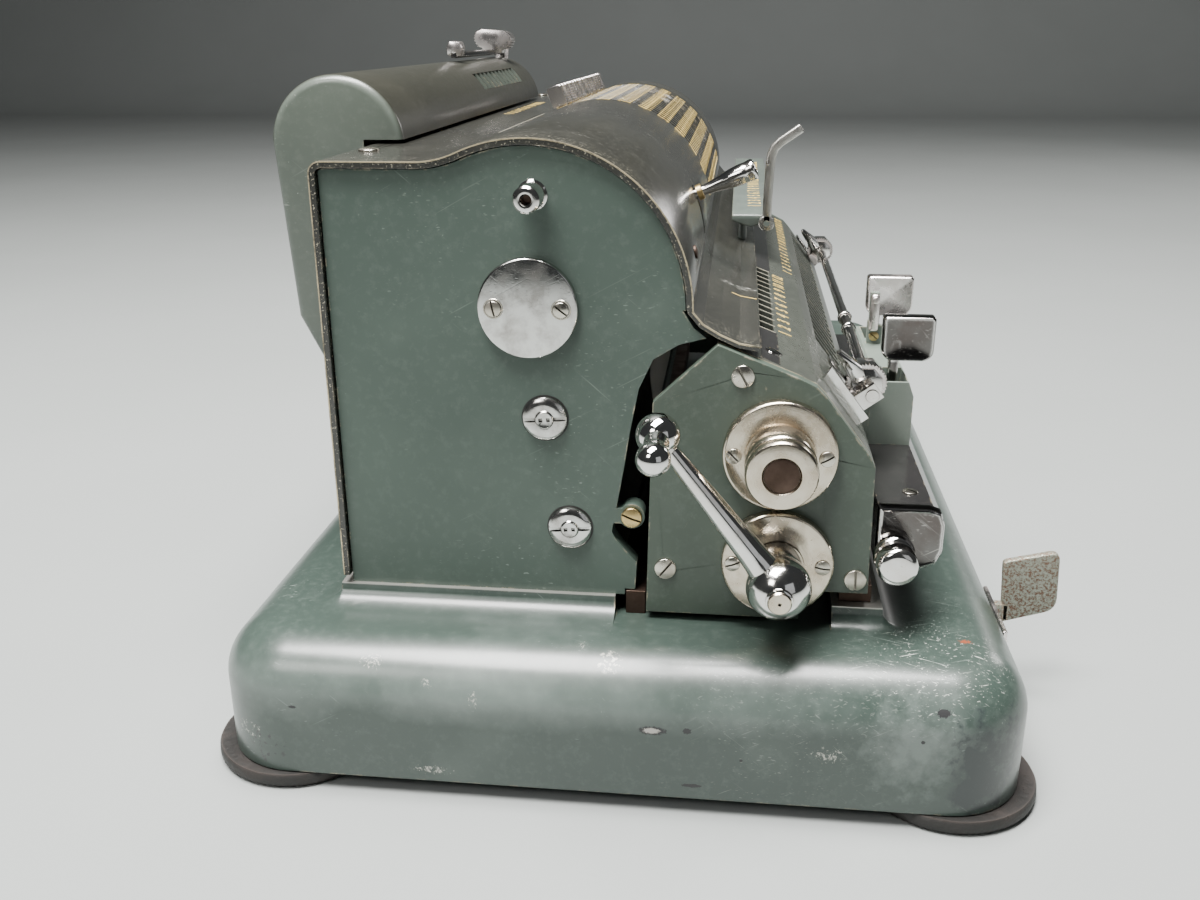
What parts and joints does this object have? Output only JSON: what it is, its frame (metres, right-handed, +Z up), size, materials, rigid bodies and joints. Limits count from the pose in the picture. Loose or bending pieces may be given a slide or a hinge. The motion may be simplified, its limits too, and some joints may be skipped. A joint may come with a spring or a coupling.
{
  "type": "mechanical calculator",
  "caption": "Hand-cranked pinwheel calculating machine with a round hump over the setting levers, a sliding result carriage, a rear check dial and a cast base on rubber feet",
  "frame": {"origin": "middle of the bounding box's bottom, on the surface that the rubber feet stand on", "axes": "+X to the operator's right along the carriage, +Y to the back, +Z up"},
  "size_m": [0.3988, 0.2237, 0.1788],
  "materials": {
    "base_enamel": "satin dark grey-green enamel, chipped and scratched",
    "foot_rubber": "aged brownish black rubber",
    "left_plate_enamel": "matte dark green enamel",
    "right_plate_enamel": "matte dark green enamel",
    "inner_plate_steel": "plain steel",
    "cover_enamel": "satin dark green enamel with bare worn edges",
    "rod_steel": "turned steel",
    "housing_enamel": "satin dark green enamel",
    "cap_chrome": "polished chrome, lightly scratched",
    "body_screw_nickel": "nickel-plated slotted heads",
    "stud_chrome": "polished",
    "rail_steel": "ground steel",
    "block_enamel": "satin dark green enamel with gold numbers",
    "slot_plate_steel": "dull steel",
    "shaft_steel": "turned steel",
    "drum_steel": "machined steel",
    "crank_chrome": "chrome plated",
    "grip_plastic": "black moulded grip",
    "transfer_steel": "turned steel",
    "check_wheel_black": "black with white digits",
    "zero_lever_chrome": "chrome with a serrated thumb piece",
    "clear_lever_chrome": "turned and polished",
    "transfer_lever_steel": "dull plated steel",
    "tab_steel": "plated steel mottled with rust",
    "carriage_plate_enamel": "matte dark green enamel",
    "carriage_far_plate_enamel": "matte dark green enamel",
    "carriage_enamel": "satin dark green enamel, worn edges",
    "carriage_screw_nickel": "nickel-plated slotted heads",
    "bushing_nickel": "yellowed nickel plate",
    "result_wheel_black": "black with white digits",
    "result_hub_nickel": "yellowed nickel plate",
    "counter_wheel_black": "black with white digits",
    "clear_crank_chrome": "polished chrome",
    "clear_knob_chrome": "polished chrome",
    "pointer_rail_chrome": "polished rod",
    "near_pointer_chrome": "chrome with serrations",
    "far_pointer_chrome": "chrome with serrations",
    "bar_black": "gloss black",
    "key_housing_enamel": "satin grey-green enamel",
    "near_key_chrome": "polished chrome",
    "far_key_chrome": "polished chrome",
    "bar_knob_chrome": "ribbed chrome",
    "setting_lever_chrome": "plated, with serrated tips"
  },
  "bodies": {
    "frame": {"base_casting": "base_enamel", "rubber_feet": "foot_rubber", "left_side_plate": "left_plate_enamel", "right_side_plate": "right_plate_enamel", "inner_frame_plate": "inner_plate_steel", "top_cover": "cover_enamel", "frame_tie_rods": "rod_steel", "check_dial_housing": "housing_enamel", "bearing_caps": "cap_chrome", "body_screws": "body_screw_nickel", "locating_stud": "stud_chrome", "carriage_rails": "rail_steel", "scale_block": "block_enamel", "tab_slot_plate": "slot_plate_steel"},
    "drum": {"main_shaft": "shaft_steel", "pinwheel_drum": "drum_steel", "crank_arm": "crank_chrome"},
    "grip": {"crank_grip": "grip_plastic"},
    "side_shaft": {"transfer_shaft": "transfer_steel"},
    "check_wheels": {"check_dial_wheels": "check_wheel_black"},
    "zero_lever": {"check_zero_lever": "zero_lever_chrome"},
    "clearing_lever": {"setting_clear_lever": "clear_lever_chrome"},
    "bent_lever": {"transfer_lever": "transfer_lever_steel"},
    "tab": {"tab_lever": "tab_steel"},
    "carriage": {"carriage_left_plate": "carriage_plate_enamel", "carriage_right_plate": "carriage_far_plate_enamel", "carriage_cover": "carriage_enamel", "carriage_screws": "carriage_screw_nickel", "clearing_bushings": "bushing_nickel", "pointer_rail": "pointer_rail_chrome", "front_bar": "bar_black", "key_housing": "key_housing_enamel"},
    "result_register": {"product_wheels": "result_wheel_black", "product_shaft": "result_hub_nickel"},
    "turn_counter": {"counter_wheels": "counter_wheel_black"},
    "clearing_crank": {"clear_crank": "clear_crank_chrome"},
    "clearing_knob": {"clear_crank_knob": "clear_knob_chrome"},
    "left_pointer": {"near_pointer": "near_pointer_chrome"},
    "right_pointer": {"far_pointer": "far_pointer_chrome"},
    "left_key": {"near_shift_key": "near_key_chrome"},
    "right_key": {"far_shift_key": "far_key_chrome"},
    "end_knob": {"bar_knob": "bar_knob_chrome"},
    "lever_01": {"setting_lever_01": "setting_lever_chrome"},
    "lever_02": {"setting_lever_02": "setting_lever_chrome"},
    "lever_03": {"setting_lever_03": "setting_lever_chrome"},
    "lever_04": {"setting_lever_04": "setting_lever_chrome"},
    "lever_05": {"setting_lever_05": "setting_lever_chrome"},
    "lever_06": {"setting_lever_06": "setting_lever_chrome"},
    "lever_07": {"setting_lever_07": "setting_lever_chrome"},
    "lever_08": {"setting_lever_08": "setting_lever_chrome"},
    "lever_09": {"setting_lever_09": "setting_lever_chrome"},
    "lever_10": {"setting_lever_10": "setting_lever_chrome"},
    "lever_11": {"setting_lever_11": "setting_lever_chrome"},
    "lever_12": {"setting_lever_12": "setting_lever_chrome"},
    "lever_13": {"setting_lever_13": "setting_lever_chrome"},
    "lever_14": {"setting_lever_14": "setting_lever_chrome"},
    "lever_15": {"setting_lever_15": "setting_lever_chrome"},
    "lever_16": {"setting_lever_16": "setting_lever_chrome"},
    "lever_17": {"setting_lever_17": "setting_lever_chrome"},
    "lever_18": {"setting_lever_18": "setting_lever_chrome"}
  },
  "joints": [
    {"name": "crank_turn", "type": "hinge", "parent": "frame", "child": "drum", "pos_m": [0.1484, 0.02835, 0.1166], "axis": [1, 0, 0], "continuous": true},
    {"name": "grip_turn", "type": "hinge", "parent": "drum", "child": "grip", "pos_m": [0.1774, 0.02835, 0.0546], "axis": [1, 0, 0], "continuous": true},
    {"name": "side_shaft_turn", "type": "hinge", "parent": "frame", "child": "side_shaft", "pos_m": [-0.1516, 0.02495, 0.0895], "axis": [1, 0, 0], "continuous": true},
    {"name": "carriage_slide", "type": "slide", "parent": "frame", "child": "carriage", "axis": [1, 0, 0], "range_m": [0, 0.0594]},
    {"name": "clearing_crank_swing", "type": "hinge", "parent": "carriage", "child": "clearing_crank", "pos_m": [-0.1801, -0.03195, 0.0558], "axis": [-1, 0, 0], "range_deg": [0, 60]},
    {"name": "clearing_knob_spin", "type": "hinge", "parent": "clearing_crank", "child": "clearing_knob", "pos_m": [-0.1926, -0.00355, 0.0922], "axis": [1, 0, 0], "continuous": true},
    {"name": "result_register_turn", "type": "hinge", "parent": "carriage", "child": "result_register", "pos_m": [-0.1576, -0.03135, 0.0836], "axis": [-1, 0, 0], "range_deg": [-60, 0]},
    {"name": "turn_counter_turn", "type": "hinge", "parent": "carriage", "child": "turn_counter", "pos_m": [-0.1576, -0.02585, 0.0991], "axis": [1, 0, 0], "continuous": true},
    {"name": "left_pointer_slide", "type": "slide", "parent": "carriage", "child": "left_pointer", "axis": [1, 0, 0], "range_m": [0, 0.044]},
    {"name": "right_pointer_slide", "type": "slide", "parent": "carriage", "child": "right_pointer", "axis": [1, 0, 0], "range_m": [-0.1, 0]},
    {"name": "left_key_rock", "type": "hinge", "parent": "carriage", "child": "left_key", "pos_m": [-0.1076, -0.06385, 0.0745], "axis": [0, 1, 0], "range_deg": [-8, 8], "stiffness_Nm_per_rad": 0.3},
    {"name": "right_key_rock", "type": "hinge", "parent": "carriage", "child": "right_key", "pos_m": [-0.0606, -0.06385, 0.0745], "axis": [0, 1, 0], "range_deg": [-8, 8], "stiffness_Nm_per_rad": 0.3},
    {"name": "end_knob_turn", "type": "hinge", "parent": "carriage", "child": "end_knob", "pos_m": [-0.1666, -0.06005, 0.0575], "axis": [1, 0, 0], "range_deg": [0, 90]},
    {"name": "clearing_lever_swing", "type": "hinge", "parent": "frame", "child": "clearing_lever", "pos_m": [-0.0776, 0.02835, 0.1166], "axis": [1, 0, 0], "range_deg": [0, 15], "stiffness_Nm_per_rad": 0.5},
    {"name": "bent_lever_swing", "type": "hinge", "parent": "frame", "child": "bent_lever", "pos_m": [-0.0306, -0.02925, 0.1164], "axis": [1, 0, 0], "range_deg": [0, 20]},
    {"name": "zero_lever_swing", "type": "hinge", "parent": "frame", "child": "zero_lever", "pos_m": [0.095, 0.08595, 0.1492], "axis": [1, 0, 0], "range_deg": [0, 40], "stiffness_Nm_per_rad": 0.3},
    {"name": "check_wheels_turn", "type": "hinge", "parent": "frame", "child": "check_wheels", "pos_m": [-0.0146, 0.08335, 0.1568], "axis": [1, 0, 0], "range_deg": [0, 160]},
    {"name": "tab_slide", "type": "slide", "parent": "frame", "child": "tab", "axis": [-1, 0, 0], "range_m": [0, 0.016]},
    {"name": "lever_01_swing", "type": "hinge", "parent": "frame", "child": "lever_01", "pos_m": [-0.0076, 0.02835, 0.1166], "axis": [1, 0, 0], "range_deg": [0, 99]},
    {"name": "lever_02_swing", "type": "hinge", "parent": "frame", "child": "lever_02", "pos_m": [-0.001, 0.02835, 0.1166], "axis": [1, 0, 0], "range_deg": [0, 99]},
    {"name": "lever_03_swing", "type": "hinge", "parent": "frame", "child": "lever_03", "pos_m": [0.0056, 0.02835, 0.1166], "axis": [1, 0, 0], "range_deg": [0, 99]},
    {"name": "lever_04_swing", "type": "hinge", "parent": "frame", "child": "lever_04", "pos_m": [0.0122, 0.02835, 0.1166], "axis": [1, 0, 0], "range_deg": [0, 99]},
    {"name": "lever_05_swing", "type": "hinge", "parent": "frame", "child": "lever_05", "pos_m": [0.0188, 0.02835, 0.1166], "axis": [1, 0, 0], "range_deg": [0, 99]},
    {"name": "lever_06_swing", "type": "hinge", "parent": "frame", "child": "lever_06", "pos_m": [0.0254, 0.02835, 0.1166], "axis": [1, 0, 0], "range_deg": [0, 99]},
    {"name": "lever_07_swing", "type": "hinge", "parent": "frame", "child": "lever_07", "pos_m": [0.032, 0.02835, 0.1166], "axis": [1, 0, 0], "range_deg": [0, 99]},
    {"name": "lever_08_swing", "type": "hinge", "parent": "frame", "child": "lever_08", "pos_m": [0.0386, 0.02835, 0.1166], "axis": [1, 0, 0], "range_deg": [0, 99]},
    {"name": "lever_09_swing", "type": "hinge", "parent": "frame", "child": "lever_09", "pos_m": [0.0452, 0.02835, 0.1166], "axis": [1, 0, 0], "range_deg": [0, 99]},
    {"name": "lever_10_swing", "type": "hinge", "parent": "frame", "child": "lever_10", "pos_m": [0.0518, 0.02835, 0.1166], "axis": [1, 0, 0], "range_deg": [0, 99]},
    {"name": "lever_11_swing", "type": "hinge", "parent": "frame", "child": "lever_11", "pos_m": [0.0584, 0.02835, 0.1166], "axis": [1, 0, 0], "range_deg": [0, 99]},
    {"name": "lever_12_swing", "type": "hinge", "parent": "frame", "child": "lever_12", "pos_m": [0.065, 0.02835, 0.1166], "axis": [1, 0, 0], "range_deg": [0, 99]},
    {"name": "lever_13_swing", "type": "hinge", "parent": "frame", "child": "lever_13", "pos_m": [0.0716, 0.02835, 0.1166], "axis": [1, 0, 0], "range_deg": [0, 99]},
    {"name": "lever_14_swing", "type": "hinge", "parent": "frame", "child": "lever_14", "pos_m": [0.0782, 0.02835, 0.1166], "axis": [1, 0, 0], "range_deg": [0, 99]},
    {"name": "lever_15_swing", "type": "hinge", "parent": "frame", "child": "lever_15", "pos_m": [0.0848, 0.02835, 0.1166], "axis": [1, 0, 0], "range_deg": [0, 99]},
    {"name": "lever_16_swing", "type": "hinge", "parent": "frame", "child": "lever_16", "pos_m": [0.0914, 0.02835, 0.1166], "axis": [1, 0, 0], "range_deg": [0, 99]},
    {"name": "lever_17_swing", "type": "hinge", "parent": "frame", "child": "lever_17", "pos_m": [0.098, 0.02835, 0.1166], "axis": [1, 0, 0], "range_deg": [0, 99]},
    {"name": "lever_18_swing", "type": "hinge", "parent": "frame", "child": "lever_18", "pos_m": [0.1046, 0.02835, 0.1166], "axis": [1, 0, 0], "range_deg": [0, 99]}
  ],
  "couplings": [
    {"joint": "side_shaft_turn", "follows": "crank_turn", "ratio": -1},
    {"joint": "turn_counter_turn", "follows": "crank_turn", "ratio": 0.1},
    {"joint": "result_register_turn", "follows": "clearing_crank_swing", "ratio": -1},
    {"joint": "check_wheels_turn", "follows": "zero_lever_swing", "ratio": 4}
  ]
}
